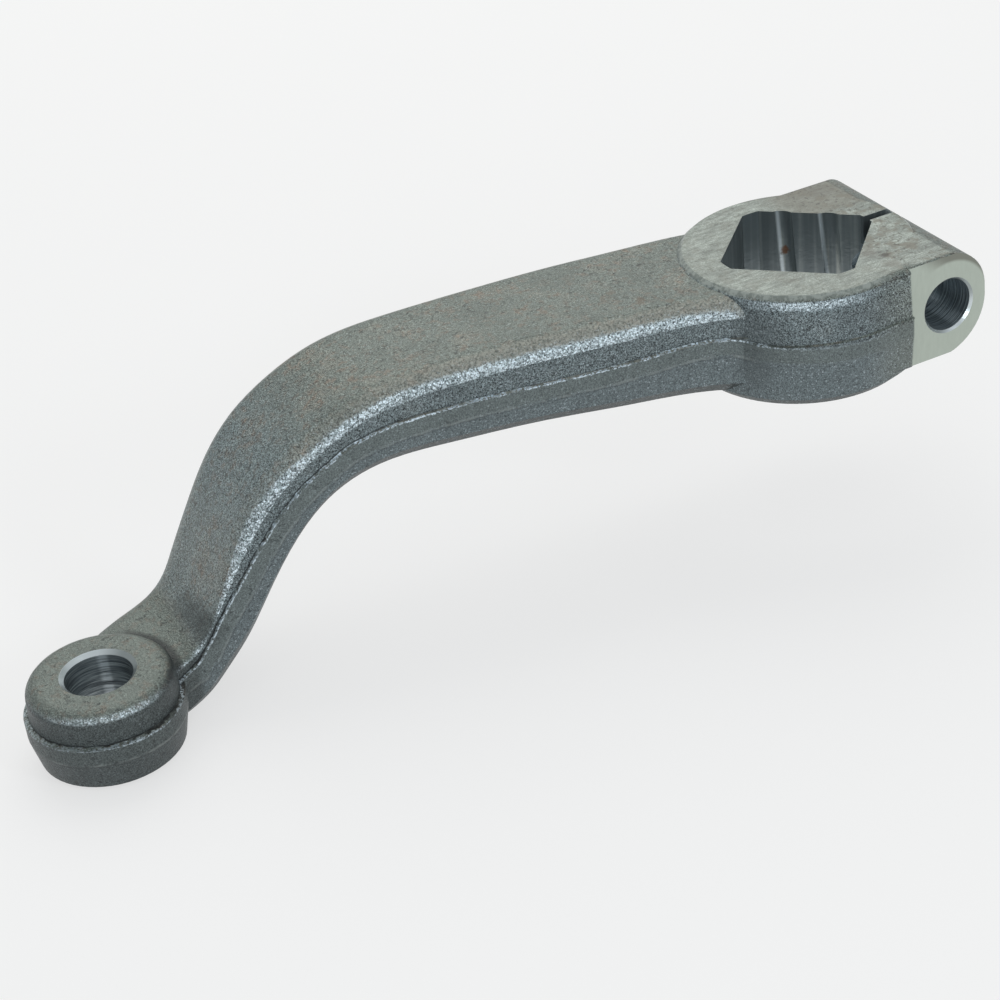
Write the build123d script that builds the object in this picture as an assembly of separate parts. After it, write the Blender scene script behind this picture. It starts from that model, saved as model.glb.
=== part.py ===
from build123d import *
import math
import os

# Cranked steering arm, one forging: a clamp boss, a tapering arm that drops to a lower level, and a rod eye.
# Millimetres. The socket's axis is Z, the boss's ground top face is z = 0, and +X points to the clamp slit.
# The arm runs towards -X.

# Socket for the squared spindle
SOCKET_FLATS = 32.9
SOCKET_CORNER_D = 42.0
FLUTE_OFFSET = 5.9
FLUTE_R = 4.0
FLUTE_DEPTH = 0.75
FLUTE_LEAN = 3.5

# Boss; its forged outside stands a little off the axis of the machined socket, and its top is ground to a rim
BOSS_H = 30.0
BOSS_R = 30.8
BOSS_OFF_X = -0.3
BOSS_OFF_Y = -0.6
BOSS_PARTING = 12.2
BOSS_RIM_EDGE = 1.2
BOSS_FOOT_EDGE = 2.6
DRAFT = 5.0

# Clamp end and slit; the pinch bolt has a clearance hole in the front ear and a tapped hole in the back one
LUG_H = 27.0
LUG_END = 35.8
LUG_TURN = 1.2
LUG_END_LONG = 10.2
LUG_FULL = 0.695
LUG_FRONT = 30.8
LUG_BACK = 27.5
LUG_EDGE_R = 2.0
BOLT_FACE = 29.0
BOLT_FACE_START = 12.4
BOLT_HOLE_R = 6.75
BOLT_TAP_R = 5.1
BOLT_X = 24.3
BOLT_DEPTH = 13.8
BOLT_CHAMFER = 0.6
SLIT_W = 2.6

# Arm: its parting line at the root, how far its middle bows to the back, its width, its height above the
# parting and its depth under it, the skin's step there and its slope, the trimmed band below, the rounded
# upper edges and the broken foot edges
ARM_PARTING = 10.9
ARM_BOW = 18.0
ARM_WIDTH = 42.0
ARM_RISE = 10.0
ARM_DEPTH = 12.0
STEP = 0.6
LEDGE = 0.3
TRIM_BAND = 4.5
ARM_EDGE_R = 5.0
ARM_FOOT_EDGE = 3.4

# Largest shares of a low section's height, depth and half width that its edges and its band may take
RISE_SHARE = 0.6
DEPTH_SHARE = 0.5
BAND_SHARE = 0.35
WIDTH_SHARE = 0.4

# Rod eye
EYE_REACH = 193.0
EYE_TOP = 49.0
EYE_H = 20.3
EYE_PARTING = 8.0
EYE_R = 17.5
EYE_STEP = 1.2
EYE_EDGE_R = 3.2
EYE_DRAFT = 3.0
EYE_FOOT_R = 17.0
EYE_FOOT_EDGE = 0.7
EYE_HOLE_R = 8.0
EYE_SINK = 1.0

# Arm sections from root to eye, as shares: of the reach, of the drop, of the bow, of the width, of the height
# above the parting, of the depth under it, and of that height again for how much lower the front edge lies
ARM_ROWS = [
    (0.062, 0.003, 0.029, 1.220, 1.01, 1.36, 0.00),
    (0.103, 0.001, 0.197, 1.176, 0.98, 1.37, 0.00),
    (0.145, 0.000, 0.388, 1.079, 0.98, 1.34, 0.00),
    (0.197, 0.000, 0.523, 1.021, 0.99, 1.28, 0.00),
    (0.280, 0.000, 0.619, 1.014, 1.03, 1.14, 0.00),
    (0.394, 0.002, 0.781, 0.963, 1.04, 1.01, 0.00),
    (0.513, -0.008, 0.901, 0.924, 0.97, 0.97, 0.00),
    (0.611, 0.011, 0.964, 0.900, 0.87, 0.92, 0.00),
    (0.684, 0.124, 0.985, 0.876, 0.86, 0.97, 0.00),
    (0.735, 0.272, 0.981, 0.850, 0.95, 1.22, 0.00),
    (0.771, 0.421, 0.958, 0.823, 0.97, 1.45, 0.00),
    (0.798, 0.553, 0.923, 0.797, 0.87, 1.56, 0.00),
    (0.821, 0.663, 0.880, 0.773, 0.66, 1.54, 0.04),
    (0.842, 0.764, 0.829, 0.749, 0.46, 1.45, 0.09),
    (0.863, 0.869, 0.759, 0.720, 0.42, 1.30, 0.16),
    (0.894, 0.968, 0.670, 0.701, 0.57, 1.11, 0.20),
    (0.935, 1.004, 0.515, 0.717, 0.62, 1.00, 0.14),
    (0.968, 1.004, 0.345, 0.712, 0.58, 1.00, 0.05),
    (1.000, 1.000, 0.189, 0.657, 0.56, 1.00, 0.00),
]

# How far the cuts run past the faces they open on
PAST = 1.0

draft = math.tan(math.radians(DRAFT))
arm_drop = EYE_TOP + EYE_PARTING - ARM_PARTING


def corner(start, sharp, end):
    """Points of a quarter round from start to end, tangent to both edges at the sharp corner."""
    pull = 4 / 3 * (math.sqrt(2) - 1)
    start, sharp, end = Vector(*start), Vector(*sharp), Vector(*end)
    return [start, start + (sharp - start) * pull, end + (sharp - end) * pull, end]


def arm_section(index):
    """Wire of one arm section across X: rounded edges, drafted sides and the step at the parting."""
    reach, drop, bow, width, rise, depth, lean = ARM_ROWS[index]
    before = ARM_ROWS[max(index - 1, 0)]
    after = ARM_ROWS[min(index + 1, len(ARM_ROWS) - 1)]
    fall = (after[1] - before[1]) * arm_drop / ((after[0] - before[0]) * EYE_REACH)
    stretch = math.hypot(1, fall)
    half = width * ARM_WIDTH / 2
    down = depth * ARM_DEPTH
    cut = min(ARM_FOOT_EDGE * stretch, DEPTH_SHARE * down)
    band = min(TRIM_BAND * stretch, BAND_SHARE * down)
    low = half + STEP
    across = min(ARM_EDGE_R, WIDTH_SHARE * half)
    foot_half = low - draft * (down - band)
    foot_wall = low - draft * (down - cut - band)
    plane = Plane(
        origin=(-reach * EYE_REACH, bow * ARM_BOW, -ARM_PARTING - drop * arm_drop),
        x_dir=(0, 1, 0),
        z_dir=(1, 0, 0),
    )

    def half_outline(side):
        up = (rise - (lean if side < 0 else 0)) * ARM_RISE
        round_up = min(ARM_EDGE_R * stretch, RISE_SHARE * up)
        top_half = half - draft * up
        top_wall = half - draft * (up - round_up)
        over = corner((top_half - across, up), (top_half, up), (top_wall, up - round_up))
        foot = [(foot_wall, cut - down), (foot_half - ARM_FOOT_EDGE, -down)]
        wall = [(half, 0), (low, -LEDGE), (low, -band)] + foot
        wall = [over[3]] + [Vector(*point) for point in wall]
        local = [over] + [[a, b] for a, b in zip(wall, wall[1:])]
        return [[plane.from_local_coords(Vector(side * p.X, p.Y, 0)) for p in run] for run in local]

    right = half_outline(1)
    left = [run[::-1] for run in half_outline(-1)[::-1]]
    runs = right + [[right[-1][-1], left[0][0]]] + left + [[left[-1][-1], right[0][0]]]
    edges = [Edge.make_line(*run) if len(run) == 2 else Edge.make_bezier(*run) for run in runs]
    return Wire(edges)


def turned(points, rounds, chamfers, centre):
    """Solid turned about Z from a half profile; rounds and chamfers map a corner's index to its size."""
    edges = rounds | chamfers
    ends = []
    curves = []
    for index, point in enumerate(points):
        sharp = Vector(*point)
        start, end = (
            sharp + (Vector(*points[other % len(points)]) - sharp).normalized() * edges.get(index, 0)
            for other in (index - 1, index + 1)
        )
        ends.append((start, end))
        if index in edges:
            curves.append(Bezier(*corner(start, sharp, end)) if index in rounds else Line(start, end))
    for here, there in zip(ends, ends[1:] + ends[:1]):
        curves.append(Line(here[1], there[0]))
    return Pos(*centre) * revolve(Plane.XZ * make_face(curves), Axis.Z)


# Boss
boss_wall = BOSS_R - draft * BOSS_PARTING
boss_band = BOSS_PARTING + TRIM_BAND
boss_foot = BOSS_R + STEP - draft * (BOSS_H - boss_band)
boss = turned(
    [
        (0, 0),
        (boss_wall, 0),
        (BOSS_R, -BOSS_PARTING),
        (BOSS_R + STEP, -BOSS_PARTING - LEDGE),
        (BOSS_R + STEP, -boss_band),
        (boss_foot, -BOSS_H),
        (0, -BOSS_H),
    ],
    {},
    {1: BOSS_RIM_EDGE, 5: BOSS_FOOT_EDGE},
    (BOSS_OFF_X, BOSS_OFF_Y, 0),
)

# Clamp end: a drafted block across the slit, rounded off round the bolt by a slightly turned nose
lug_rise = draft * BOSS_PARTING
lug_fall = draft * (LUG_H - boss_band)
lug_ring = [
    (-LUG_FRONT + lug_rise, 0),
    (-LUG_FRONT, -BOSS_PARTING),
    (-LUG_FRONT - STEP, -BOSS_PARTING - LEDGE),
    (-LUG_FRONT - STEP, -boss_band),
    (-LUG_FRONT - STEP + lug_fall, -LUG_H),
    (LUG_BACK - lug_fall, -LUG_H),
    (LUG_BACK, -boss_band),
    (LUG_BACK, -BOSS_PARTING),
    (LUG_BACK - lug_rise, 0),
]
lug_face = make_face(Plane.YZ * Polyline(*lug_ring, close=True))
lug_levels = lug_face.vertices().group_by(Axis.Z)
lug_corners = lug_levels[0] + lug_levels[-1]
lug = extrude(fillet(lug_corners, LUG_EDGE_R), 2 * LUG_END)
nose_x = LUG_END - LUG_END_LONG
nose_low = LUG_H - BOSS_PARTING
nose = Plane.XZ * make_face(
    [
        Line((0, 0), (nose_x, 0)),
        ThreePointArc(
            (nose_x, 0),
            (nose_x + LUG_FULL * LUG_END_LONG, -BOSS_PARTING * (1 - LUG_FULL)),
            (LUG_END, -BOSS_PARTING),
        ),
        ThreePointArc(
            (LUG_END, -BOSS_PARTING),
            (nose_x + LUG_FULL * LUG_END_LONG, -BOSS_PARTING - LUG_FULL * nose_low),
            (nose_x, -LUG_H),
        ),
        Line((nose_x, -LUG_H), (0, -LUG_H)),
        Line((0, -LUG_H), (0, 0)),
    ]
)
lug = lug & Rot(0, 0, -LUG_TURN) * extrude(nose, 2 * BOSS_R, both=True)

# Arm
arm = Solid.make_loft([arm_section(i) for i in range(len(ARM_ROWS))], False)

# Rod eye
eye_wall = EYE_R - math.tan(math.radians(EYE_DRAFT)) * EYE_PARTING
eye_low = EYE_R + EYE_STEP
eye = turned(
    [
        (0, 0),
        (eye_wall, 0),
        (EYE_R, -EYE_PARTING),
        (eye_low, -EYE_PARTING - LEDGE),
        (eye_low, -EYE_PARTING - TRIM_BAND),
        (EYE_FOOT_R, -EYE_H),
        (0, -EYE_H),
    ],
    {1: EYE_EDGE_R},
    {5: EYE_FOOT_EDGE},
    (-EYE_REACH, 0, -EYE_TOP),
)

forging = boss + lug + arm + eye

# Socket: a square with its corners on a circle, with two shallow leaning flutes in one wall
square = Rot(0, 0, 45) * Rectangle(SOCKET_FLATS, SOCKET_FLATS)
socket = Pos(0, 0, -BOSS_H - PAST) * extrude(square & Circle(SOCKET_CORNER_D / 2), BOSS_H + 2 * PAST)
wall_to_axis = SOCKET_FLATS / 2 + FLUTE_DEPTH - FLUTE_R
for side in (-1, 1):
    flute = Pos(wall_to_axis, side * FLUTE_OFFSET, -BOSS_H / 2) * Rot(-FLUTE_LEAN, 0, 0)
    socket += Rot(0, 0, 45) * flute * Cylinder(FLUTE_R, 2 * BOSS_H)

slit = Pos(LUG_END, 0, -BOSS_H / 2) * Box(2 * (LUG_END - SOCKET_FLATS / 2), SLIT_W, BOSS_H + 2 * PAST)
bolt_axis = Pos(BOLT_X, 0, -BOLT_DEPTH) * Rot(90, 0, 0)
bolt_hole = bolt_axis * Pos(0, 0, BOSS_R) * Cylinder(BOLT_HOLE_R, 2 * BOSS_R)
bolt_tap = bolt_axis * Pos(0, 0, -BOSS_R) * Cylinder(BOLT_TAP_R, 2 * BOSS_R + SLIT_W)
bolt_sink = bolt_axis * Pos(0, 0, BOLT_FACE - BOLT_CHAMFER / 2) * Cone(
    BOLT_HOLE_R, BOLT_HOLE_R + BOLT_CHAMFER, BOLT_CHAMFER
)
face_room = Box(2 * LUG_END, 2 * BOSS_R, 2 * LUG_H)
face_cut = Pos(BOLT_FACE_START + LUG_END, -BOLT_FACE - BOSS_R, -LUG_H / 2) * face_room

eye_axis = Pos(-EYE_REACH, 0, -EYE_TOP)
eye_hole = eye_axis * Pos(0, 0, -EYE_H / 2) * Cylinder(EYE_HOLE_R, EYE_H + 2 * PAST)
eye_sink = eye_axis * Pos(0, 0, -EYE_SINK / 2) * Cone(EYE_HOLE_R, EYE_HOLE_R + EYE_SINK, EYE_SINK)

steering_arm = forging - face_cut - socket - slit - bolt_hole - bolt_sink - bolt_tap - eye_hole - eye_sink

os.makedirs("parts", exist_ok=True)
export_step(steering_arm, "parts/steering_arm.step")
print("volume", round(steering_arm.volume), "solids", len(steering_arm.solids()))
print("valid", steering_arm.is_valid)
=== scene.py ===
import math
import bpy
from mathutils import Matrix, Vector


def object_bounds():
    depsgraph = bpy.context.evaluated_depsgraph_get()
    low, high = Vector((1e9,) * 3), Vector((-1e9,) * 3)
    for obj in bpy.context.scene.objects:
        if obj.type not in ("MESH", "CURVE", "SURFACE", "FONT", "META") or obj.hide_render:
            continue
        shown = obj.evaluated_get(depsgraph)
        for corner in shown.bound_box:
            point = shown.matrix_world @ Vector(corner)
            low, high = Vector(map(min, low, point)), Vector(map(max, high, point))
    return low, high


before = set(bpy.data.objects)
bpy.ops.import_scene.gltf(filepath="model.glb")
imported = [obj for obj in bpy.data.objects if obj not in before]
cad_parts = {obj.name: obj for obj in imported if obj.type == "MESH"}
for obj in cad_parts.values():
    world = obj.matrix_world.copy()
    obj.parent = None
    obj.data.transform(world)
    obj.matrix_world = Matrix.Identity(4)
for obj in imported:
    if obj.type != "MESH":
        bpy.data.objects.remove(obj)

from types import SimpleNamespace

import bpy
from mathutils import Matrix, Vector

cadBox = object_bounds()
print("frame loaded:", ", ".join(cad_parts))


# Node helpers

def plug(tree, node, links):
    for socket, value in links.items():
        if isinstance(value, bpy.types.NodeSocket):
            tree.links.new(value, node.inputs[socket])
        else:
            node.inputs[socket].default_value = value


def addNode(tree, kind, links=None, **settings):
    node = tree.nodes.new(kind)
    for name, value in settings.items():
        setattr(node, name, value)
    plug(tree, node, links or {})
    return node


def calc(tree, operation, a, b=0.0, c=0.0):
    return addNode(tree, "ShaderNodeMath", {0: a, 1: b, 2: c}, operation=operation).outputs[0]


def remap(tree, value, fromLow, fromHigh, toLow=0.0, toHigh=1.0, smooth=True):
    kind = "SMOOTHSTEP" if smooth else "LINEAR"
    ranges = {0: value, 1: fromLow, 2: fromHigh, 3: toLow, 4: toHigh}
    return addNode(tree, "ShaderNodeMapRange", ranges, interpolation_type=kind).outputs[0]


def step(tree, value, low, high):
    return remap(tree, value, low, high)


def drop(tree, value, low, high):
    return remap(tree, value, low, high, 1.0, 0.0)


# Grain noises lie mostly between 0.3 and 0.7; this spreads them over a wanted range
def swing(tree, value, low, high):
    return remap(tree, value, 0.3, 0.7, low, high, smooth=False)


def times(tree, *values):
    total = values[0]
    for value in values[1:]:
        total = calc(tree, "MULTIPLY", total, value)
    return total


def most(tree, *values):
    total = values[0]
    for value in values[1:]:
        total = calc(tree, "MAXIMUM", total, value)
    return total


def between(tree, value, low, lowFull, highFull, high):
    return times(tree, step(tree, value, low, lowFull), drop(tree, value, highFull, high))


def mixColour(tree, factor, a, b, blend="MIX"):
    links = {0: factor, 6: a, 7: b}
    for socket, value in links.items():
        if isinstance(value, tuple):
            links[socket] = (*value, 1.0)
    settings = {"data_type": "RGBA", "blend_type": blend, "clamp_factor": True}
    return addNode(tree, "ShaderNodeMix", links, **settings).outputs[2]


def layer(tree, under, mask, over):
    return mixColour(tree, mask, under, over)


def shade(tree, colour, tone):
    return mixColour(tree, 1.0, colour, tone, "MULTIPLY")


def mixValue(tree, factor, a, b):
    return addNode(tree, "ShaderNodeMix", {0: factor, 2: a, 3: b}, data_type="FLOAT").outputs[0]


def separate(tree, vector):
    return addNode(tree, "ShaderNodeSeparateXYZ", {0: vector}).outputs


def distance(tree, a, b, centre):
    da = calc(tree, "SUBTRACT", a, centre[0])
    db = calc(tree, "SUBTRACT", b, centre[1])
    return calc(tree, "SQRT", calc(tree, "MULTIPLY_ADD", da, da, calc(tree, "MULTIPLY", db, db)))


# How far a point lies from a centre along one way, as a share of a radius
def towards(tree, a, b, centre, way, radius):
    da = calc(tree, "MULTIPLY", calc(tree, "SUBTRACT", a, centre[0]), way[0] / radius)
    db = calc(tree, "MULTIPLY", calc(tree, "SUBTRACT", b, centre[1]), way[1] / radius)
    return calc(tree, "ADD", da, db)


def noise(tree, vector, scale, detail, rough):
    links = {"Vector": vector, "Scale": scale, "Detail": detail, "Roughness": rough}
    return addNode(tree, "ShaderNodeTexNoise", links).outputs["Fac"]


# A value that follows points over a range of the arm, given in millimetres along it
def curveAlong(tree, along, xEnds, yEnds, points):
    curve = addNode(tree, "ShaderNodeFloatCurve", {1: remap(tree, along, *xEnds, smooth=False)})
    (xLow, xHigh), (yLow, yHigh) = xEnds, yEnds
    places = [((px / 1000 - xLow) / (xHigh - xLow), (py - yLow) / (yHigh - yLow)) for px, py in points]
    knots = curve.mapping.curves[0].points
    knots[0].location = places[0]
    knots[1].location = places[-1]
    for place in places[1:-1]:
        knots.new(*place)
    curve.mapping.update()
    return curve.outputs[0]


def newGroup(name, inputs, outputs):
    group = bpy.data.node_groups.new(name, "ShaderNodeTree")
    for label, kind, value in inputs:
        socket = group.interface.new_socket(label, in_out="INPUT", socket_type="NodeSocket" + kind)
        if value is not None:
            socket.default_value = value
    for label in outputs:
        group.interface.new_socket(label, in_out="OUTPUT", socket_type="NodeSocketFloat")
    given = group.nodes.new("NodeGroupInput").outputs
    return group, given, group.nodes.new("NodeGroupOutput")


def placeGroup(tree, source, links):
    return addNode(tree, "ShaderNodeGroup", links, node_tree=source).outputs


# Grain of a shot-blasted forging: grit in two sizes, pits, specks and broad patches

gritLook = {
    "fineScale": 3300.0,
    "coarseScale": 1600.0,
    "cellScale": 2300.0,
    "pitScale": 620.0,
    "patchScale": 70.0,
    "brownScale": 480.0,
    "speckPick": (0.80, 0.98),
    "speckCore": (0.30, 0.65),
    "glitterPick": (0.30, 0.80),
    "glitterCore": (0.35, 0.80),
    "pits": (0.30, 0.40),
    "brown": (0.49, 0.68),
    "coarseHeight": 1.6,
    "fineHeight": 0.7,
    "pitHeight": -0.5,
}


def makeGritGroup(look):
    tree, given, out = newGroup(
        "shotBlastGrit",
        [
            ("Vector", "Vector", None),
            ("Fine Scale", "Float", look["fineScale"]),
            ("Coarse Scale", "Float", look["coarseScale"]),
        ],
        ["Fine", "Coarse", "Pits", "Specks", "Glitter", "Patches", "Brown", "Height"],
    )
    place = given["Vector"]
    fine = noise(tree, place, given["Fine Scale"], 1.0, 0.5)
    coarse = noise(tree, place, given["Coarse Scale"], 2.0, 0.6)
    cells = addNode(tree, "ShaderNodeTexVoronoi", {"Vector": place, "Scale": look["cellScale"]}).outputs
    cellPick = addNode(tree, "ShaderNodeSeparateColor", {0: cells["Color"]}).outputs[0]
    speckCore = drop(tree, cells["Distance"], *look["speckCore"])
    glitterCore = drop(tree, cells["Distance"], *look["glitterCore"])
    pits = drop(tree, noise(tree, place, look["pitScale"], 2.0, 0.7), *look["pits"])
    brown = noise(tree, place, look["brownScale"], 2.0, 0.7)
    height = calc(tree, "MULTIPLY", pits, look["pitHeight"])
    height = calc(tree, "MULTIPLY_ADD", fine, look["fineHeight"], height)
    height = calc(tree, "MULTIPLY_ADD", coarse, look["coarseHeight"], height)
    results = {
        "Fine": fine,
        "Coarse": coarse,
        "Pits": pits,
        "Specks": times(tree, step(tree, cellPick, *look["speckPick"]), speckCore),
        "Glitter": times(tree, step(tree, cellPick, *look["glitterPick"]), glitterCore),
        "Patches": noise(tree, place, look["patchScale"], 3.0, 0.6),
        "Brown": step(tree, brown, *look["brown"]),
        "Height": height,
    }
    plug(tree, out, results)
    return tree


# Turning, broaching or grinding marks: thin streaks along one direction

def makeMarksGroup():
    tree, given, out = newGroup(
        "toolMarks",
        [("Vector", "Vector", None), ("Stretch", "Vector", (1.0, 1.0, 1.0)), ("Scale", "Float", 900.0)],
        ["Marks", "Height"],
    )
    links = {0: given["Vector"], 1: given["Stretch"]}
    stretched = addNode(tree, "ShaderNodeVectorMath", links, operation="MULTIPLY").outputs[0]
    marks = noise(tree, stretched, given["Scale"], 2.0, 0.65)
    plug(tree, out, {"Marks": marks, "Height": step(tree, marks, 0.3, 0.7)})
    return tree


# A soft or ragged round spot at a place on the arm, its edge in shares of the radius

spotLook = {
    "edge": (0.35, 1.0),
    "ragReach": 3.0,
}


def makeSpotGroup(look):
    tree, given, out = newGroup(
        "spot",
        [
            ("Vector", "Vector", None),
            ("Rag", "Float", 0.5),
            ("Centre", "Vector", (0.0, 0.0, 0.0)),
            ("Radius", "Float", 0.002),
            ("Ragged", "Float", 0.5),
        ],
        ["Mask"],
    )
    links = {0: given["Vector"], 1: given["Centre"]}
    away = addNode(tree, "ShaderNodeVectorMath", links, operation="DISTANCE").outputs[1]
    share = calc(tree, "DIVIDE", away, given["Radius"])
    rag = calc(tree, "SUBTRACT", given["Rag"], 0.5)
    ragReach = calc(tree, "MULTIPLY", given["Ragged"], look["ragReach"])
    share = calc(tree, "MULTIPLY_ADD", rag, ragReach, share)
    plug(tree, out, {"Mask": drop(tree, share, *look["edge"])})
    return tree


# The die parting line round the forging, with its glints, crack, trim band and the band's lower seam.
# Millimetres along the arm, then the line's height in millimetres or the glints' share. The rows are
# distances from the line in metres, and the seam's rows distances from the band's lower edge.

partingLook = {
    "xEnds": (-0.215, 0.040),
    "zEnds": (-0.060, -0.008),
    "line": [
        (-212, -57.0), (-193, -57.0), (-186.8, -57.2), (-180.5, -57.2), (-172.5, -55.5), (-166.6, -51.0),
        (-162.5, -46.1), (-158.5, -41.5), (-154.0, -36.4), (-148.8, -30.3), (-141.9, -23.4), (-132.0, -16.6),
        (-117.9, -11.4), (-99.0, -10.5), (-76.0, -11.0), (-54.0, -10.9), (-30.0, -10.9), (-24.0, -12.2),
        (36.0, -12.2),
    ],
    "glintAlong": [
        (-212, 0.30), (-204, 0.35), (-194, 0.60), (-178, 0.45), (-168, 0.75), (-140, 0.85), (-100, 1.0),
        (-36, 0.9), (-22, 0.45), (-8, 0.10), (36, 0.05),
    ],
    "ragged": 0.0009,
    "raggedScale": 520.0,
    "brokenScale": 240.0,
    "bandDepth": 0.0045,
    "bandSoft": (0.0006, -0.0004),
    "glintRow": (-0.00070, -0.00040, -0.00015, 0.0),
    "glintBroken": (0.32, 0.50),
    "crackRow": (-0.00005, 0.00005, 0.00025, 0.00045),
    "crackBroken": (0.30, 0.45),
    "seamRow": (-0.0006, -0.0002, 0.0001, 0.0005),
    "seamShadeRow": (-0.0009, -0.0006, -0.0004, -0.0001),
    "seamBroken": (0.35, 0.60),
    "aboveSoft": 0.0002,
    "slopeReach": 0.001,
    "crackOnCrank": (-0.130, -0.100),
    "crackElsewhere": 0.35,
}


def makePartingGroup(look):
    tree, given, out = newGroup(
        "partingLine",
        [("Vector", "Vector", None)],
        ["Glint", "Crack", "Band", "Seam", "SeamShade", "Above"],
    )
    x, y, z = separate(tree, given["Vector"])
    line = [(px, pz / 1000) for px, pz in look["line"]]

    def lineHeight(along):
        share = curveAlong(tree, along, look["xEnds"], look["zEnds"], line)
        return remap(tree, share, 0.0, 1.0, *look["zEnds"], smooth=False)

    # distance from the line, square to it also where it is steep
    here = lineHeight(x)
    ahead = lineHeight(calc(tree, "ADD", x, look["slopeReach"]))
    slope = calc(tree, "MULTIPLY", calc(tree, "SUBTRACT", ahead, here), 1.0 / look["slopeReach"])
    steep = calc(tree, "SQRT", calc(tree, "MULTIPLY_ADD", slope, slope, 1.0))
    over = calc(tree, "DIVIDE", calc(tree, "SUBTRACT", z, here), steep)
    rag = calc(tree, "SUBTRACT", noise(tree, given["Vector"], look["raggedScale"], 3.0, 0.65), 0.5)
    over = calc(tree, "MULTIPLY_ADD", rag, look["ragged"], over)

    broken = noise(tree, given["Vector"], look["brokenScale"], 2.0, 0.7)
    glintRow = between(tree, over, *look["glintRow"])
    glintShown = curveAlong(tree, x, look["xEnds"], (0.0, 1.0), look["glintAlong"])
    crackRow = between(tree, over, *look["crackRow"])
    crackShown = remap(tree, x, *look["crackOnCrank"], 1.0, look["crackElsewhere"])
    low = -look["bandDepth"]
    softLow, softHigh = look["bandSoft"]
    seamRow = between(tree, over, *(low + offset for offset in look["seamRow"]))
    results = {
        "Glint": times(tree, glintRow, step(tree, broken, *look["glintBroken"]), glintShown),
        "Crack": times(tree, crackRow, step(tree, broken, *look["crackBroken"]), crackShown),
        "Band": between(tree, over, low, low + softLow, softHigh, 0.0),
        "Seam": times(tree, seamRow, step(tree, broken, *look["seamBroken"])),
        "SeamShade": between(tree, over, *(low + offset for offset in look["seamShadeRow"])),
        "Above": step(tree, over, -look["aboveSoft"], look["aboveSoft"]),
    }
    plug(tree, out, results)
    return tree


gritGroup = makeGritGroup(gritLook)
marksGroup = makeMarksGroup()
spotGroup = makeSpotGroup(spotLook)
partingGroup = makePartingGroup(partingLook)
print("surface groups made")

# Colours, then roughness, metal, edge shapes, and bumps as strength and depth in metres
steelLook = {
    "skinTop": (0.170, 0.196, 0.178),
    # the sides' colour is a darker, bluer copy of the top's: painted shade by facing
    "shadedSkinSide": (0.146, 0.178, 0.187),
    "skinWarm": (0.200, 0.190, 0.160),
    "skinBrown": (0.190, 0.150, 0.118),
    # downward faces: a dark copy of the skin, painted shade
    "skinUnderShade": (0.060, 0.074, 0.074),
    # the eye's sides: a dark copy of the skin, painted shade
    "eyeSideShade": (0.066, 0.078, 0.078),
    # a lighter, bluer copy of the skin for the crank's back-leaning face: painted light
    "litCrankFace": (0.215, 0.262, 0.265),
    "bossWarm": (0.190, 0.208, 0.180),
    # rounded upper edges: brighter, shinier metal where burnished, and a painted highlight
    "burnishAndHighlight": (0.40, 0.47, 0.50),
    "speck": (0.78, 0.88, 0.94),
    # warm band just above the edge highlight: a painted warm sheen
    "warmSheen": (0.44, 0.43, 0.38),
    "glint": (0.72, 0.84, 0.93),
    # painted highlight on one side of each countersink
    "bevelHighlight": (0.74, 0.80, 0.82),
    # near-black: the parting crack and the pits, and painted shade in the groove and under the seam
    "nearBlack": (0.022, 0.024, 0.026),
    "band": (0.142, 0.167, 0.160),
    "seam": (0.27, 0.30, 0.29),
    "ground": (0.235, 0.262, 0.242),
    "groundStain": (0.155, 0.150, 0.125),
    "groundPit": (0.075, 0.075, 0.065),
    # the ground rim's bevel: a lighter copy of the ground, painted light
    "rim": (0.42, 0.46, 0.43),
    "milled": (0.46, 0.51, 0.45),
    "bore": (0.18, 0.21, 0.22),
    # the eye and bolt holes' walls: lighter copies of the bore colour, painted light
    "litEyeBore": (0.22, 0.255, 0.275),
    "litBoltBore": (0.33, 0.39, 0.43),
    # painted highlight, for the streaks in the holes and the flutes' lit edges
    "highlightStreak": (0.80, 0.88, 0.92),
    "flute": (0.50, 0.53, 0.49),
    "rust": (0.17, 0.075, 0.035),
    "boreLight": (0.36, 0.40, 0.40),
    "skinRough": 0.44,
    "skinRoughSwing": 0.25,
    "shineRough": 0.30,
    "groundRough": 0.42,
    "boreRough": 0.30,
    "skinMetal": 0.5,
    "shineMetal": 0.95,
    "machinedMetal": 0.75,
    "edgeRag": 60.0,
    "footWiden": 0.38,
    "eyeEdgeWay": (-0.22, 0.97),
    "rollBump": (1.0, -0.0013),
    "gritBump": (0.9, 0.00018),
    "groundBump": (0.35, 0.00005),
}

# Places on the arm and radii, in metres: the eye and the ground rim seen from above, the bolt from the front
armPlaces = {
    "socket": (0.0, 0.0),
    "eye": (-0.193, 0.0),
    "bolt": (0.0243, -0.0138),
    "rim": (-0.0003, -0.0006),
    "eyeHole": 0.008,
    "eyeSink": 0.0085,
    "boltHole": 0.00675,
    "boltSink": 0.0072,
    "milledEdge": 0.0120,
    "fluteDepth": 0.017,
}

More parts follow.
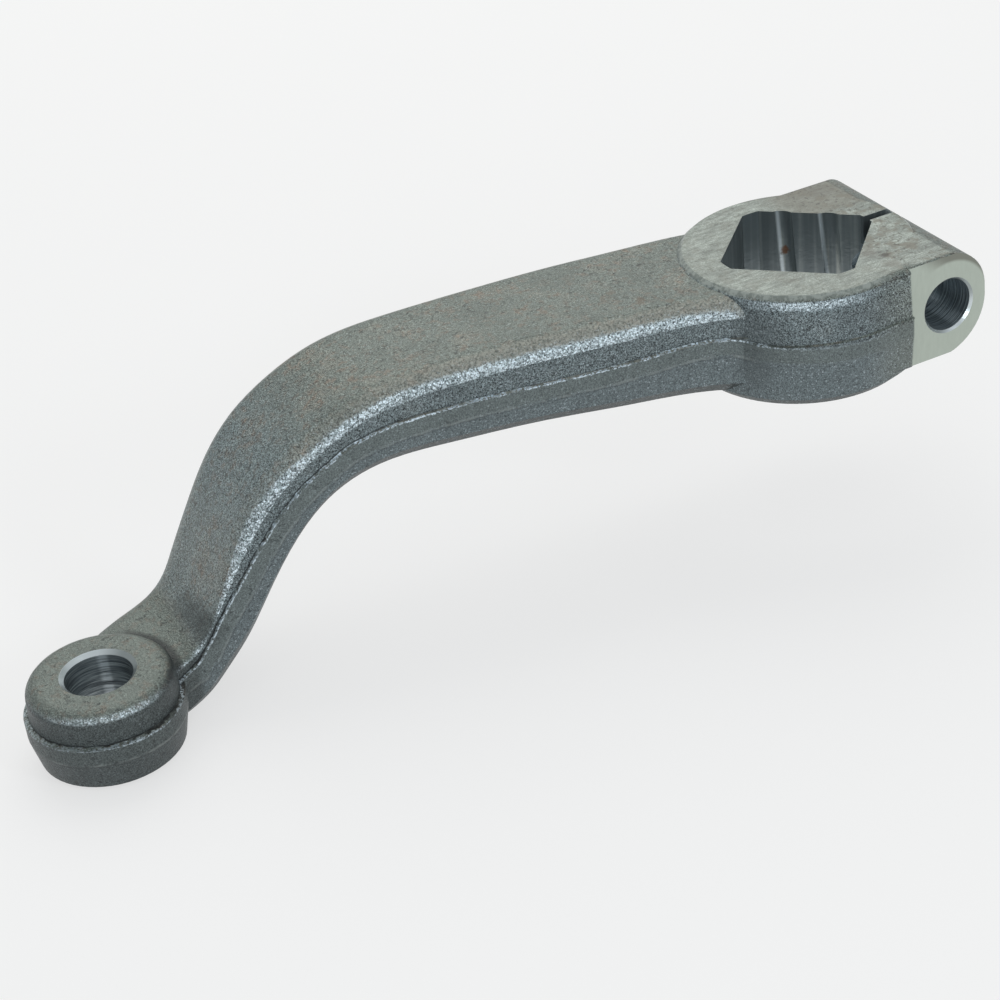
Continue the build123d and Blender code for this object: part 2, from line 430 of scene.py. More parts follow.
# Soft limits of the masks: where each starts and is full, then where it is still full and ends,
# in metres or in parts of the surface's facing along an axis
limits = {
    "groundFlat": (-0.00018, -0.00006),
    "groundFacing": (0.9, 0.97),
    "groundRound": (0.0290, 0.0298),
    "groundEars": (0.012, 0.016),
    "rimBand": (0.0276, 0.0284, 0.0290, 0.0300),
    "rimLow": (-0.0014, -0.0010),
    "rimFacing": (0.45, 0.6, 0.85, 0.93),
    "rimStain": (0.0266, 0.0290),
    "rimStainEnd": (0.010, 0.014),
    "noseFade": (0.020, 0.034),
    "boltFaceY": (-0.02895, -0.0289),
    "boltFacing": (-0.97, -0.9),
    "boltFaceX": (0.0118, 0.0124),
    "wallFacing": (0.05, 0.15),
    "socketRound": (0.0213, 0.0216),
    "farWall": (0.0160, 0.0163),
    "slitHalf": (0.00135, 0.0014),
    "slitStart": (0.012, 0.013),
    "boltRound": (0.0069, 0.0070),
    "boltWallFacing": (0.1, 0.2),
    "boltSinkRound": (0.0074, 0.0076),
    "boltSinkY": (0.0255, 0.026),
    "eyeRound": (0.0082, 0.0083),
    "eyeSinkRound": (0.0092, 0.0094),
    "sinkFacing": (0.3, 0.5, 0.85, 0.95),
    "milledEdge": (0.0112, 0.0122),
    "onEye": (-0.172, -0.168),
    "onBoss": (-0.028, -0.024),
    "onEars": (0.009, 0.013),
    "backEarX": (0.004, 0.012),
    "backEarY": (0.006, 0.012),
    "crankFoot": (-0.160, -0.135),
    "edgeStart": (0.76, 0.88),
    "edgeEnd": (0.960, 0.988),
    "edgeFacing": (0.09, 0.15),
    "eyeEdge": (0.30, 0.50, 0.62, 0.85),
    "eyeEdgeTurn": (0.40, 0.85),
    "shoulderLow": (-0.0040, -0.0028),
    "shoulderHigh": (-0.0018, -0.0010),
    "shoulderFacing": (0.45, 0.8),
    "shoulderEnd": (-0.014, 0.006),
    "warmSheen": (0.22, 0.50, 0.76, 0.88),
    "warmSheenFacing": (0.12, 0.25),
    "grooveShade": (0.0156, 0.0168, 0.0182, 0.0202),
    "grooveStart": (-0.186, -0.178),
    "grooveFacing": (0.2, 0.5),
    "upwards": (0.15, 0.85),
    "onTop": (0.72, 0.95),
    "leansBack": (-0.65, -0.30),
    "crankFacing": (0.3, 0.6),
    "bossWarm": (-0.004, 0.012),
    "bossWarmFacing": (0.3, 0.6),
    "under": (-0.60, -0.30),
    "patchFacing": (-0.2, 0.6),
    "brownFacing": (0.1, 0.6),
    "eyeSideFacing": (0.2, 0.6),
    "bandFacing": (0.7, 0.9),
    "burnishAndHighlightAlong": (-0.120, -0.060),
    "warmSheenAlong": (-0.145, -0.090),
    "fluteEdge": (-0.0006, 0.0, 0.0002, 0.0009),
    "fluteSoft": (0.0008, 0.0012),
    "fluteLowEnd": (-0.010, -0.003),
    "rollOver": (-0.0048, -0.0008),
    "rollFacing": (0.2, 0.5),
}

# How strongly each layer covers what is under it, as one share or as low and high ends
strengths = {
    "patches": (0.0, 0.45),
    "brown": (0.1, 0.8),
    "bossWarm": 0.55,
    "eyeSideShade": 0.9,
    "band": 0.6,
    "bandOnEye": 0.3,
    "burnishAndHighlight": (0.38, 0.62),
    "eyeEdge": 0.8,
    "calmBand": 0.55,
    "calmBelow": 0.45,
    "calmEye": 0.35,
    "pits": 0.45,
    "warmSheen": (0.1, 0.8),
    "warmSheenAlong": (0.35, 1.0),
    "speckSide": 0.30,
    "speckTop": 0.15,
    "speckBand": 0.5,
    "speckEye": 0.3,
    "glitter": 0.9,
    "grooveShade": 0.8,
    "seam": 0.5,
    "seamShade": 0.25,
    "seamOnBoss": 0.15,
    "glintGlitter": 0.25,
    "nearBlack": 0.85,
    "backEar": 0.6,
    "stain": (0.25, 0.80),
    "groundPits": (0.35, 0.75),
    "rim": 0.9,
    "rimStain": 0.6,
    "milledStain": 0.75,
    "boreLight": (0.0, 0.8),
    "highlightStreak": 0.85,
    "litEdge": 0.8,
    "lighterLowEnd": 0.6,
    "edgeShine": 0.7,
}

# Grain: noise scales, the ranges where a grain starts and is full, and how far it swings a tone
grainLook = {
    "ragScale": 700.0,
    "wobbleScale": 420.0,
    "wobble": 0.0010,
    "blotchScale": 190.0,
    "blotch": (0.47, 0.62),
    "patches": (0.5, 0.72),
    "glint": (0.46, 0.60),
    "rimStain": (0.47, 0.58),
    "groundPits": (0.55, 0.65),
    "boreLight": (0.42, 0.74),
    "highlightStreak": (0.35, 0.60),
    "coarseTone": (0.68, 1.32),
    "fineToneTop": (0.55, 1.45),
    "fineToneSide": (0.10, 1.90),
    "patchTone": (0.88, 1.12),
    "groundMarksTone": (0.72, 1.28),
    "groundFineTone": (0.75, 1.25),
    "groundCoarseTone": (0.80, 1.20),
    "smearTone": (0.80, 1.20),
    "milledTone": (0.97, 1.03),
    "ringTone": (0.40, 1.60),
}

# Tool marks: stretch along X, Y and Z, and scale
marksLook = {
    "ground": ((0.3, 1.0, 1.0), 900.0),
    "smear": ((0.35, 1.0, 1.0), 170.0),
    "milled": ((1.0, 1.0, 0.2), 1500.0),
    "broach": ((1.0, 1.0, 0.03), 420.0),
    "boltRings": ((0.04, 1.0, 0.04), 2600.0),
    "eyeRings": ((0.04, 0.04, 1.0), 2600.0),
}

# Ways from a hole's axis, across its wall, and from where to where along them a light or stain shows
lightLook = {
    "boltHighlightStreak": ((0.55, -0.83), (0.93, 0.995)),
    "eyeHighlightStreak": ((0.41, 0.91), (0.975, 0.998)),
    "boltSink": ((0.65, -0.76), (0.35, 0.95)),
    "eyeSink": ((-0.5, 0.86), (-0.1, 0.8)),
    "milledStain": ((0.6, 0.8), (0.35, 0.85)),
}

# Soft dark or brown spots: name, centre and radius in metres, ragged edge, colour and strength; the valley
# and crank-foot spots are painted shade
skinShadeAndStainSpots = [
    ("valleyShadeMid", (-0.0254, -0.0185, -0.0110), 0.0085, 0.25, (0.085, 0.102, 0.107), 0.35),
    ("valleyShadeLow", (-0.0256, -0.0188, -0.0193), 0.0070, 0.25, (0.085, 0.102, 0.107), 0.40),
    ("crankFootShadeFront", (-0.1660, 0.0010, -0.0484), 0.0058, 0.25, (0.062, 0.072, 0.072), 0.62),
    ("crankFootShadeMid", (-0.1664, 0.0066, -0.0482), 0.0056, 0.25, (0.066, 0.076, 0.076), 0.52),
    ("crankFootShadeBack", (-0.1668, 0.0124, -0.0479), 0.0056, 0.25, (0.070, 0.080, 0.078), 0.40),
    ("armBrownA", (-0.0461, -0.0013, -0.0008), 0.0022, 0.70, (0.16, 0.12, 0.085), 0.60),
    ("armBrownB", (-0.0500, 0.0060, -0.0008), 0.0015, 0.70, (0.16, 0.12, 0.085), 0.45),
    ("armBrownC", (-0.0405, -0.0060, -0.0008), 0.0012, 0.70, (0.16, 0.12, 0.085), 0.45),
    ("eyeRimPit", (-0.1786, -0.0085, -0.0506), 0.0016, 0.50, (0.06, 0.065, 0.065), 0.70),
]
groundSpots = [
    ("frontPit", (0.0122, -0.0196, 0.0), 0.0016, 0.50, (0.06, 0.055, 0.05), 0.80),
    ("frontSmudgeA", (0.0099, -0.0163, 0.0), 0.0030, 0.60, (0.14, 0.135, 0.12), 0.55),
    ("frontSmudgeB", (0.0106, -0.0246, 0.0), 0.0030, 0.60, (0.16, 0.155, 0.135), 0.50),
    ("backSmudge", (0.0218, 0.0213, 0.0), 0.0050, 0.60, (0.14, 0.14, 0.125), 0.50),
]
boreSpots = [
    ("socketRust", (0.0075, 0.0168, -0.0110), 0.0016, 0.50, steelLook["rust"], 0.85),
]


# Place, facing and shared noises of the point that is shaded
def readArm(tree):
    coordinates = addNode(tree, "ShaderNodeTexCoord").outputs
    place = coordinates["Object"]
    x, y, z = separate(tree, place)
    facingX, facingY, facingZ = separate(tree, coordinates["Normal"])
    wobble = noise(tree, place, grainLook["wobbleScale"], 3.0, 0.65)
    return SimpleNamespace(
        place=place,
        x=x,
        y=y,
        z=z,
        facingX=facingX,
        facingY=facingY,
        facingZ=facingZ,
        steep=calc(tree, "ABSOLUTE", facingZ),
        side=calc(tree, "ABSOLUTE", facingY),
        rag=noise(tree, place, grainLook["ragScale"], 3.0, 0.65),
        wobble=calc(tree, "MULTIPLY_ADD", wobble, 2 * grainLook["wobble"], -grainLook["wobble"]),
        grit=placeGroup(tree, gritGroup, {"Vector": place}),
        parting=placeGroup(tree, partingGroup, {"Vector": place}),
    )


def placeMarks(tree, at, name):
    stretch, scale = marksLook[name]
    return placeGroup(tree, marksGroup, {"Vector": at.place, "Stretch": stretch, "Scale": scale})


def paintSpots(tree, at, under, spots):
    for name, centre, radius, ragged, colour, strength in spots:
        links = {"Vector": at.place, "Rag": at.rag, "Centre": centre, "Radius": radius, "Ragged": ragged}
        mask = placeGroup(tree, spotGroup, links)["Mask"]
        under = layer(tree, under, times(tree, mask, strength), colour)
    return under


def machinedMasks(tree, at):
    eyeReach = distance(tree, at.x, at.y, armPlaces["eye"])
    boltReach = distance(tree, at.x, at.z, armPlaces["bolt"])
    rimReach = calc(tree, "ADD", distance(tree, at.x, at.y, armPlaces["rim"]), at.wobble)
    wall = drop(tree, at.steep, *limits["wallFacing"])

    flatTop = times(
        tree, step(tree, at.z, *limits["groundFlat"]), step(tree, at.facingZ, *limits["groundFacing"])
    )
    groundArea = most(
        tree, drop(tree, rimReach, *limits["groundRound"]), step(tree, at.x, *limits["groundEars"])
    )
    rim = times(
        tree,
        between(tree, rimReach, *limits["rimBand"]),
        step(tree, at.z, *limits["rimLow"]),
        between(tree, at.facingZ, *limits["rimFacing"]),
    )
    ground = most(tree, times(tree, flatTop, groundArea), rim)
    boltFace = times(
        tree,
        drop(tree, at.y, *limits["boltFaceY"]),
        drop(tree, at.facingY, *limits["boltFacing"]),
        step(tree, at.x, *limits["boltFaceX"]),
    )

    socketReach = distance(tree, at.x, at.y, armPlaces["socket"])
    socketWall = times(tree, drop(tree, socketReach, *limits["socketRound"]), wall)
    offMiddle = calc(tree, "ABSOLUTE", at.y)
    slitWall = times(
        tree, drop(tree, offMiddle, *limits["slitHalf"]), step(tree, at.x, *limits["slitStart"])
    )
    boltWall = times(
        tree, drop(tree, boltReach, *limits["boltRound"]), drop(tree, at.side, *limits["boltWallFacing"])
    )
    boltSink = times(
        tree,
        drop(tree, boltReach, *limits["boltSinkRound"]),
        between(tree, at.side, *limits["sinkFacing"]),
        step(tree, offMiddle, *limits["boltSinkY"]),
    )
    eyeWall = times(tree, drop(tree, eyeReach, *limits["eyeRound"]), wall)
    eyeSink = times(
        tree,
        drop(tree, eyeReach, *limits["eyeSinkRound"]),
        between(tree, at.facingZ, *limits["sinkFacing"]),
    )

    bores = most(tree, boltWall, eyeWall, socketWall, slitWall)
    sinks = most(tree, boltSink, eyeSink)
    bright = most(tree, ground, boltFace)
    return SimpleNamespace(
        eyeReach=eyeReach,
        boltReach=boltReach,
        rimReach=rimReach,
        rim=rim,
        ground=ground,
        boltFace=boltFace,
        socketWall=socketWall,
        boltWall=boltWall,
        boltSink=boltSink,
        eyeWall=eyeWall,
        eyeSink=eyeSink,
        bores=bores,
        sinks=sinks,
        bright=bright,
        machined=most(tree, bright, bores, sinks),
    )


# Where a light or stain shows, seen from a hole's axis along two of the arm's axes
def litMask(tree, a, b, name, centre, radius):
    way, (low, high) = lightLook[name]
    return step(tree, towards(tree, a, b, armPlaces[centre], way, armPlaces[radius]), low, high)


# Upper edges burnished and painted with a highlight, a painted warm sheen above them and painted shade in
# the groove where the eye meets the crank
def edgeMasks(tree, at, eyeReach, look):
    onEye = drop(tree, at.x, *limits["onEye"])
    onBoss = step(tree, at.x, *limits["onBoss"])
    offEye = drop(tree, onEye, 0.0, 1.0)
    offBoss = drop(tree, onBoss, 0.0, 1.0)
    front = calc(tree, "MULTIPLY", at.facingY, -1.0)

    atFoot = drop(tree, at.x, *limits["crankFoot"])
    raggedSide = calc(tree, "MULTIPLY_ADD", at.wobble, look["edgeRag"], at.side)
    raggedSide = calc(tree, "MULTIPLY_ADD", atFoot, look["footWiden"], raggedSide)
    # the band on the arm's rounded upper edge where the lamps' highlight falls: burnish and painted
    # highlight
    armEdge = times(
        tree,
        step(tree, raggedSide, *limits["edgeStart"]),
        drop(tree, at.side, *limits["edgeEnd"]),
        step(tree, at.facingZ, *limits["edgeFacing"]),
        offBoss,
    )
    # on the eye, only the edge turned to the front: painted highlight
    turnX, turnFront = look["eyeEdgeWay"]
    eyeTurn = calc(tree, "MULTIPLY_ADD", at.facingX, turnX, calc(tree, "MULTIPLY", front, turnFront))
    eyeEdge = times(
        tree,
        between(tree, at.facingZ, *limits["eyeEdge"]),
        step(tree, eyeTurn, *limits["eyeEdgeTurn"]),
        strengths["eyeEdge"],
    )
    # painted highlight on the boss's upper front shoulder, below the ground rim
    shoulder = times(
        tree,
        step(tree, calc(tree, "ADD", at.z, at.wobble), *limits["shoulderLow"]),
        drop(tree, at.z, *limits["shoulderHigh"]),
        step(tree, front, *limits["shoulderFacing"]),
        onBoss,
        drop(tree, at.x, *limits["shoulderEnd"]),
    )
    # a painted warm sheen in a band just above the edge highlight
    warmSheen = times(
        tree,
        between(tree, raggedSide, *limits["warmSheen"]),
        step(tree, at.facingZ, *limits["warmSheenFacing"]),
        offEye,
        offBoss,
    )
    # the crease where the eye meets the crank gets painted shade
    grooveShade = times(
        tree,
        between(tree, eyeReach, *limits["grooveShade"]),
        step(tree, at.x, *limits["grooveStart"]),
        step(tree, at.facingZ, *limits["grooveFacing"]),
        onEye,
    )
    return SimpleNamespace(
        onEye=onEye,
        offEye=offEye,
        onBoss=onBoss,
        edge=most(tree, mixValue(tree, onEye, armEdge, eyeEdge), shoulder),
        warmSheen=warmSheen,
        grooveShade=grooveShade,
    )


def paintSkin(tree, at, edges, look):
    grit, parting = at.grit, at.parting

    # base colours by region
    # faces that don't look up get a darker, bluer copy of the skin: painted shade by facing
    skin = mixColour(tree, step(tree, at.facingZ, *limits["upwards"]), look["shadedSkinSide"], look["skinTop"])
    # the crank's back-leaning face gets a lighter, bluer colour by its facing: painted light
    litCrankFace = times(
        tree,
        drop(tree, at.facingX, *limits["leansBack"]),
        step(tree, at.facingZ, *limits["crankFacing"]),
        edges.offEye,
    )
    bossSide = times(
        tree,
        step(tree, at.x, *limits["bossWarm"]),
        drop(tree, at.steep, *limits["bossWarmFacing"]),
        strengths["bossWarm"],
    )
    # faces that look down get a dark copy of the skin: painted shade; they are also made more metallic
    under = drop(tree, at.facingZ, *limits["under"])
    warmPatch = times(
        tree,
        remap(tree, grit["Patches"], *grainLook["patches"], *strengths["patches"]),
        step(tree, at.facingZ, *limits["patchFacing"]),
    )
    brownGrit = times(
        tree,
        grit["Brown"],
        swing(tree, grit["Patches"], *strengths["brown"]),
        step(tree, at.facingZ, *limits["brownFacing"]),
    )
    # the eye's faces that don't look up get a darker colour: painted shade
    eyeSideShade = times(
        tree, edges.onEye, drop(tree, at.facingZ, *limits["eyeSideFacing"]), strengths["eyeSideShade"]
    )
    band = times(
        tree,
        parting["Band"],
        drop(tree, at.steep, *limits["bandFacing"]),
        mixValue(tree, edges.onEye, 1.0, strengths["bandOnEye"]),
    )
    # burnish and painted highlight along the rounded upper edges, fading in along the arm
    burnishAndHighlight = times(
        tree, edges.edge, remap(tree, at.x, *limits["burnishAndHighlightAlong"], *strengths["burnishAndHighlight"])
    )
    for mask, colour in (
        (litCrankFace, "litCrankFace"),
        (bossSide, "bossWarm"),
        (under, "skinUnderShade"),
        (warmPatch, "skinWarm"),
        (brownGrit, "skinBrown"),
        (eyeSideShade, "eyeSideShade"),
        (times(tree, band, strengths["band"]), "band"),
        (burnishAndHighlight, "burnishAndHighlight"),
    ):
        skin = layer(tree, skin, mask, look[colour])

    # grain, calmer in the band, below the parting line and on the eye
    onTop = step(tree, at.facingZ, *limits["onTop"])
    coarseTone = swing(tree, grit["Coarse"], *grainLook["coarseTone"])
    topTone = times(tree, swing(tree, grit["Fine"], *grainLook["fineToneTop"]), coarseTone)
    sideTone = times(tree, swing(tree, grit["Fine"], *grainLook["fineToneSide"]), coarseTone)
    patchTone = swing(tree, grit["Patches"], *grainLook["patchTone"])
    tone = times(tree, mixValue(tree, onTop, sideTone, topTone), patchTone)
    calm = most(
        tree,
        times(tree, band, strengths["calmBand"]),
        times(tree, drop(tree, parting["Above"], 0.0, 1.0), strengths["calmBelow"]),
        times(tree, edges.onEye, strengths["calmEye"]),
    )
    skin = shade(tree, skin, mixValue(tree, calm, tone, 1.0))

    # pits, painted warm sheen, specks and spots
    warmSheen = times(
        tree,
        edges.warmSheen,
        swing(tree, grit["Coarse"], *strengths["warmSheen"]),
        remap(tree, at.x, *limits["warmSheenAlong"], *strengths["warmSheenAlong"]),
    )
    specks = times(
        tree,
        grit["Specks"],
        mixValue(tree, onTop, strengths["speckSide"], strengths["speckTop"]),
        mixValue(tree, band, 1.0, strengths["speckBand"]),
        mixValue(tree, edges.onEye, 1.0, strengths["speckEye"]),
    )
    # grit sparkle along the same edges, part of the painted highlight
    specks = most(tree, specks, times(tree, grit["Glitter"], edges.edge, strengths["glitter"]))
    for mask, colour in (
        (times(tree, grit["Pits"], strengths["pits"]), "nearBlack"),
        (warmSheen, "warmSheen"),
        (specks, "speck"),
        # painted shade in the groove where the eye meets the crank
        (times(tree, edges.grooveShade, strengths["grooveShade"]), "nearBlack"),
    ):
        skin = layer(tree, skin, mask, look[colour])
    # spots on the skin: painted shade in the boss valley and at the crank's foot, brown stains and a pit
    skin = paintSpots(tree, at, skin, skinShadeAndStainSpots)

    # the parting line's seam, glints and crack
    seamShown = mixValue(tree, edges.onBoss, 1.0, strengths["seamOnBoss"])
    glitter = calc(tree, "MULTIPLY", grit["Glitter"], strengths["glintGlitter"])
    glintGrain = step(tree, calc(tree, "ADD", grit["Coarse"], glitter), *grainLook["glint"])
    glint = times(tree, parting["Glint"], glintGrain)
    for mask, colour in (
        (times(tree, parting["Seam"], seamShown, strengths["seam"]), "seam"),
        (times(tree, parting["SeamShade"], seamShown, strengths["seamShade"]), "nearBlack"),
        (glint, "glint"),
        (times(tree, parting["Crack"], strengths["nearBlack"]), "nearBlack"),
    ):
        skin = layer(tree, skin, mask, look[colour])
    return skin, glint, under


# Ground top: streaks and blotches, darker on the ears, with a lighter rim bevel, painted light; it fades to
# skin at the nose
def paintGround(tree, at, masks, marks, look):
    smear = placeMarks(tree, at, "smear")["Marks"]
    tone = times(
        tree,
        swing(tree, marks["Marks"], *grainLook["groundMarksTone"]),
        swing(tree, at.grit["Fine"], *grainLook["groundFineTone"]),
        swing(tree, at.grit["Coarse"], *grainLook["groundCoarseTone"]),
        swing(tree, smear, *grainLook["smearTone"]),
    )
    noseReach = calc(tree, "ADD", at.x, calc(tree, "MULTIPLY", at.wobble, 2.0))
    offNose = drop(tree, noseReach, *limits["noseFade"])
    colour = shade(tree, mixColour(tree, offNose, look["skinTop"], look["ground"]), tone)

    onEars = step(tree, at.x, *limits["onEars"])
    backEar = times(
        tree,
        step(tree, at.y, *limits["backEarY"]),
        step(tree, at.x, *limits["backEarX"]),
        strengths["backEar"],
    )
    blotch = step(tree, noise(tree, at.place, grainLook["blotchScale"], 3.0, 0.7), *grainLook["blotch"])
    pits = step(tree, at.rag, *grainLook["groundPits"])
    rimStain = times(
        tree,
        step(tree, masks.rimReach, *limits["rimStain"]),
        step(tree, at.rag, *grainLook["rimStain"]),
        drop(tree, at.x, *limits["rimStainEnd"]),
        strengths["rimStain"],
    )
    for mask, over in (
        (backEar, "groundStain"),
        (times(tree, blotch, mixValue(tree, onEars, *strengths["stain"])), "groundStain"),
        (times(tree, pits, mixValue(tree, onEars, *strengths["groundPits"])), "groundPit"),
        # the rim bevel gets a lighter copy of the ground: painted light
        (times(tree, masks.rim, strengths["rim"]), "rim"),
        (rimStain, "skinTop"),
    ):
        colour = layer(tree, colour, mask, look[over])
    return paintSpots(tree, at, colour, groundSpots)


# Milled clamp face, stained along its upper right edge
def paintMilled(tree, at, masks, look):
    marks = placeMarks(tree, at, "milled")["Marks"]
    stain = times(
        tree,
        step(tree, masks.boltReach, *limits["milledEdge"]),
        litMask(tree, at.x, at.z, "milledStain", "bolt", "milledEdge"),
        strengths["milledStain"],
    )
    milled = shade(tree, look["milled"], swing(tree, marks, *grainLook["milledTone"]))
    return layer(tree, milled, stain, look["groundStain"])


# The socket's two leaning flutes: place across the wall at the top, the same at fluteDepth, and width
flutes = [(-0.0084, -0.0073, 0.0036), (0.0026, 0.0042, 0.0042)]


# Bores: broach marks up the socket, rings and painted highlight streaks in the two holes
def paintBores(tree, at, masks, look):
    broach, boltRings, eyeRings = (
        placeMarks(tree, at, name)["Marks"] for name in ("broach", "boltRings", "eyeRings")
    )
    marks = mixValue(tree, masks.boltWall, mixValue(tree, masks.eyeWall, broach, eyeRings), boltRings)
    # the eye and bolt holes' walls get lighter copies of the bore colour: painted light
    colour = layer(tree, look["bore"], masks.eyeWall, look["litEyeBore"])
    colour = layer(tree, colour, masks.boltWall, look["litBoltBore"])
    light = remap(tree, marks, *grainLook["boreLight"], *strengths["boreLight"])
    colour = layer(tree, colour, light, look["boreLight"])
    inHoles = most(tree, masks.boltWall, masks.eyeWall)
    ringTone = mixValue(tree, inHoles, 1.0, swing(tree, marks, *grainLook["ringTone"]))
    colour = shade(tree, colour, ringTone)

    # painted highlight streaks on the walls across from the light
    highlightStreaks = most(
        tree,
        times(tree, masks.boltWall, litMask(tree, at.x, at.z, "boltHighlightStreak", "bolt", "boltHole")),
        times(tree, masks.eyeWall, litMask(tree, at.x, at.y, "eyeHighlightStreak", "eye", "eyeHole")),
    )
    highlightStreaks = times(tree, highlightStreaks, step(tree, marks, *grainLook["highlightStreak"]), strengths["highlightStreak"])
    colour = layer(tree, colour, highlightStreaks, look["highlightStreak"])

    # painted highlights on the flutes' edges and lighter lower ends of the flutes, on the wall at the back
    diagonal = math.sqrt(0.5)
    across = calc(tree, "MULTIPLY", calc(tree, "SUBTRACT", at.x, at.y), diagonal)
    backwards = calc(tree, "MULTIPLY", calc(tree, "ADD", at.x, at.y), diagonal)
    farWall = times(tree, masks.socketWall, step(tree, backwards, *limits["farWall"]))
    lowEndGrain = step(tree, broach, *grainLook["highlightStreak"])
    lowEndHeight = drop(tree, at.z, *limits["fluteLowEnd"])
    for top, low, width in flutes:
        fromTop = calc(tree, "SUBTRACT", across, top)
        inFlute = calc(tree, "MULTIPLY_ADD", at.z, (low - top) / armPlaces["fluteDepth"], fromTop)
        # painted highlight on each flute's edge
        litEdge = times(tree, between(tree, inFlute, *limits["fluteEdge"]), farWall, strengths["litEdge"])
        softLow, softHigh = limits["fluteSoft"]
        # each flute's lower end is painted lighter
        lighterLowEnd = times(
            tree,
            between(tree, inFlute, 0.0, softLow, width - softHigh, width),
            lowEndHeight,
            farWall,
            lowEndGrain,
            strengths["lighterLowEnd"],
        )
        colour = layer(tree, colour, lighterLowEnd, look["flute"])
        colour = layer(tree, colour, litEdge, look["highlightStreak"])
    return paintSpots(tree, at, colour, boreSpots)


# Countersinks of the two holes, each with a painted highlight on one side
def paintSinks(tree, at, masks, look):
    lit = most(
        tree,
        times(tree, masks.boltSink, litMask(tree, at.x, at.z, "boltSink", "bolt", "boltSink")),
        times(tree, masks.eyeSink, litMask(tree, at.x, at.y, "eyeSink", "eye", "eyeSink")),
    )
    return mixColour(tree, lit, look["boreLight"], look["bevelHighlight"])


def bump(tree, height, strength, depth, normal=None):
    links = {"Strength": strength, "Distance": depth, "Height": height}
    if normal is not None:
        links["Normal"] = normal
    return addNode(tree, "ShaderNodeBump", links).outputs[0]


def makeSteel(look):
    material = bpy.data.materials.new("forgedSteel")
    material.use_nodes = True
    tree = material.node_tree
    tree.nodes.clear()

    at = readArm(tree)
    masks = machinedMasks(tree, at)
    edges = edgeMasks(tree, at, masks.eyeReach, look)
    groundMarks = placeMarks(tree, at, "ground")

    colour, glint, under = paintSkin(tree, at, edges, look)
    for mask, over in (
        (masks.ground, paintGround(tree, at, masks, groundMarks, look)),
        (masks.boltFace, paintMilled(tree, at, masks, look)),
        (masks.bores, paintBores(tree, at, masks, look)),
        (masks.sinks, paintSinks(tree, at, masks, look)),
    ):
        colour = layer(tree, colour, mask, over)

    shine = most(tree, times(tree, edges.edge, strengths["edgeShine"]), glint)
    roughSwing = look["skinRoughSwing"]
    roughLow = look["skinRough"] - roughSwing / 2
    rough = calc(tree, "MULTIPLY_ADD", at.grit["Coarse"], roughSwing, roughLow)
    rough = mixValue(tree, shine, rough, look["shineRough"])
    rough = mixValue(tree, masks.bright, rough, look["groundRough"])
    rough = mixValue(tree, most(tree, masks.bores, masks.sinks), rough, look["boreRough"])
    shinyGrain = most(tree, shine, at.grit["Specks"], under)
    metal = mixValue(tree, shinyGrain, look["skinMetal"], look["shineMetal"])
    metal = mixValue(tree, masks.machined, metal, look["machinedMetal"])

    rollOver = times(
        tree,
        step(tree, at.z, *limits["rollOver"]),
        edges.onBoss,
        drop(tree, at.steep, *limits["rollFacing"]),
    )
    rolled = bump(tree, rollOver, *look["rollBump"])
    skinBump = bump(tree, at.grit["Height"], *look["gritBump"], rolled)
    groundBump = bump(tree, groundMarks["Height"], *look["groundBump"])
    links = {0: masks.machined, 4: skinBump, 5: groundBump}
    normal = addNode(tree, "ShaderNodeMix", links, data_type="VECTOR").outputs[1]

    links = {"Base Color": colour, "Roughness": rough, "Metallic": metal, "Normal": normal}
    shader = addNode(tree, "ShaderNodeBsdfPrincipled", links)
    addNode(tree, "ShaderNodeOutputMaterial", {"Surface": shader.outputs[0]})
    return material


steel = makeSteel(steelLook)
for slot in bpy.data.objects["steering_arm"].material_slots:
    slot.material = steel
print("steel laid on the arm")


# Floor and room

stageLook = {
    "floorSeen": (0.82, 0.82, 0.82),
    "floorBounce": (0.70, 0.70, 0.70),
    "floorGlow": 0.62,
    "floorSize": 30.0,
    "floorMiddle": (-0.08, 0.0),
    "floorGap": 0.0002,
    "room": (0.95, 0.985, 1.0),
    "roomLevel": 0.5,
}


def makeFloor(look):
    bpy.ops.object.select_all(action="DESELECT")
    place = (*look["floorMiddle"], cadBox[0][2] - look["floorGap"])
    bpy.ops.mesh.primitive_plane_add(size=look["floorSize"], location=place)
    floor = bpy.context.object
    floor.name = "floor"
    bpy.ops.object.transform_apply(location=True, rotation=True, scale=True)
    paint = bpy.data.materials.new("paleFloor")
    paint.use_nodes = True
    tree = paint.node_tree
    tree.nodes.clear()

    # seen directly or in a reflection, the floor is near white and still takes the shadow
    rays = addNode(tree, "ShaderNodeLightPath").outputs
    mirrored = most(tree, rays["Is Glossy Ray"], rays["Is Transmission Ray"])
    seen = most(tree, rays["Is Camera Ray"], mirrored)
    cover = mixColour(tree, seen, look["floorBounce"], look["floorSeen"])
    matt = addNode(tree, "ShaderNodeBsdfDiffuse", {"Color": cover}).outputs[0]
    glow = addNode(tree, "ShaderNodeEmission", {"Color": (1.0, 1.0, 1.0, 1.0), "Strength": 1.0}).outputs[0]
    share = calc(tree, "MULTIPLY", seen, look["floorGlow"])
    blend = addNode(tree, "ShaderNodeMixShader", {0: share, 1: matt, 2: glow})
    addNode(tree, "ShaderNodeOutputMaterial", {"Surface": blend.outputs[0]})
    floor.data.materials.append(paint)


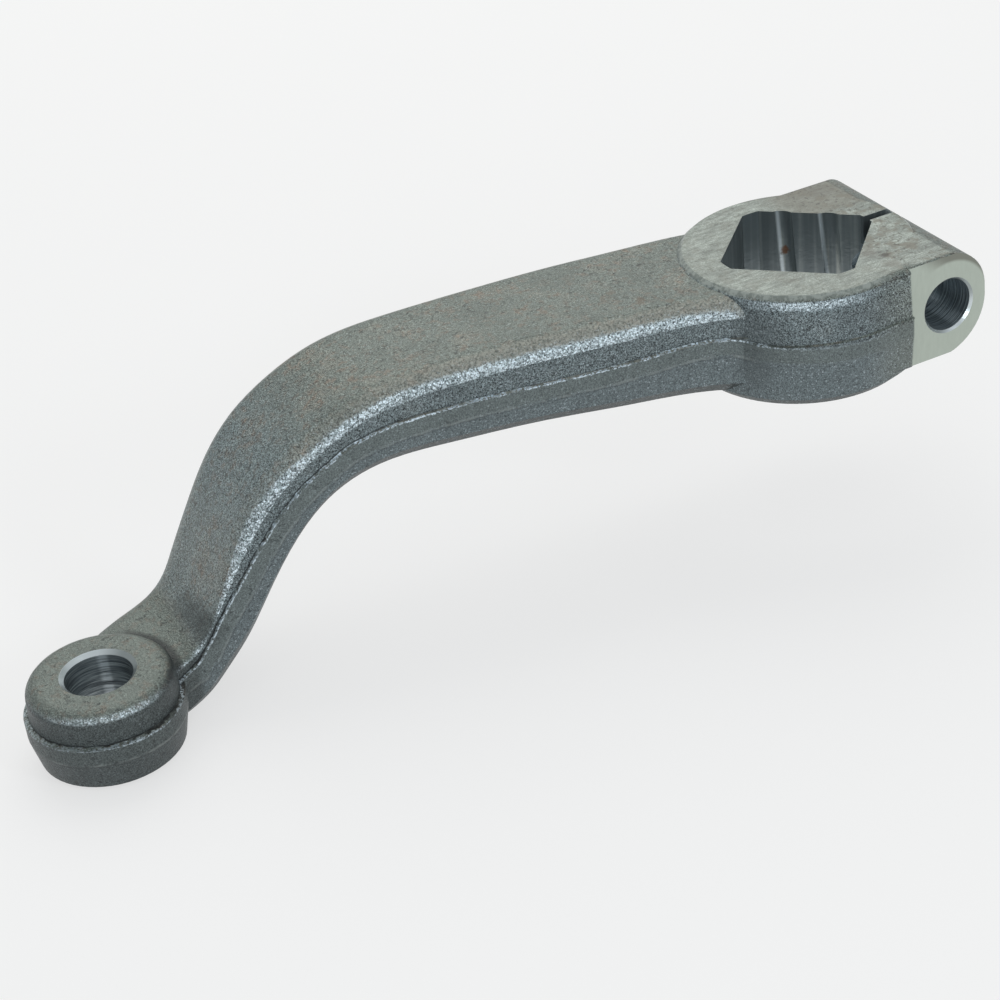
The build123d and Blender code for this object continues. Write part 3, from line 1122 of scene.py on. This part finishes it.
def makeRoom(look):
    world = bpy.data.worlds.new("room")
    world.use_nodes = True
    background = world.node_tree.nodes["Background"].inputs
    background["Color"].default_value = (*look["room"], 1.0)
    background["Strength"].default_value = look["roomLevel"]
    bpy.context.scene.world = world


# Lamps: the way they stand from the arm's middle, size in metres, power in watts and colour

lampMiddle = (-0.08, 0.0, -0.03)
lampAway = 1.3
lampLook = {
    "overhead": {"way": (0.25, 0.62, 0.75), "size": 1.3, "power": 8.0, "colour": (1.0, 0.985, 0.94)},
    "edgeRight": {"way": (0.35, -0.82, 0.45), "size": 0.26, "power": 2.4, "colour": (0.90, 0.96, 1.0)},
    "edgeLeft": {"way": (-0.45, -0.82, 0.37), "size": 0.26, "power": 2.4, "colour": (0.90, 0.96, 1.0)},
}


def addLamp(name, look):
    data = bpy.data.lights.new(name, "AREA")
    data.size = look["size"]
    data.energy = look["power"]
    data.color = look["colour"]
    lamp = bpy.data.objects.new(name, data)
    bpy.context.scene.collection.objects.link(lamp)
    out = Vector(look["way"]).normalized() * lampAway
    turn = (-out).to_track_quat("-Z", "Y").to_matrix().to_4x4()
    lamp.matrix_world = Matrix.Translation(Vector(lampMiddle) + out) @ turn


# Camera: place and target in metres, roll in degrees, lens and sensor in millimetres

cameraLook = {
    "at": (-0.2769, -0.41332, 0.23983),
    "target": (-0.08269, 0.01166, -0.0503),
    "roll": -6.43,
    "lens": 79.2,
    "sensor": 36.0,
    "near": 0.01,
}


def makeCamera(look):
    data = bpy.data.cameras.new("view")
    data.sensor_fit = "HORIZONTAL"
    data.sensor_width = look["sensor"]
    data.lens = look["lens"]
    data.clip_start = look["near"]
    camera = bpy.data.objects.new("view", data)
    bpy.context.scene.collection.objects.link(camera)
    aim = Vector(look["target"]) - Vector(look["at"])
    turn = aim.to_track_quat("-Z", "Y").to_matrix().to_4x4()
    roll = Matrix.Rotation(math.radians(look["roll"]), 4, "Z")
    camera.matrix_world = Matrix.Translation(look["at"]) @ turn @ roll
    bpy.context.scene.camera = camera


makeFloor(stageLook)
makeRoom(stageLook)
for name, look in lampLook.items():
    addLamp(name, look)
makeCamera(cameraLook)
bpy.context.scene.view_settings.view_transform = "Standard"
print("floor, lights and camera set")
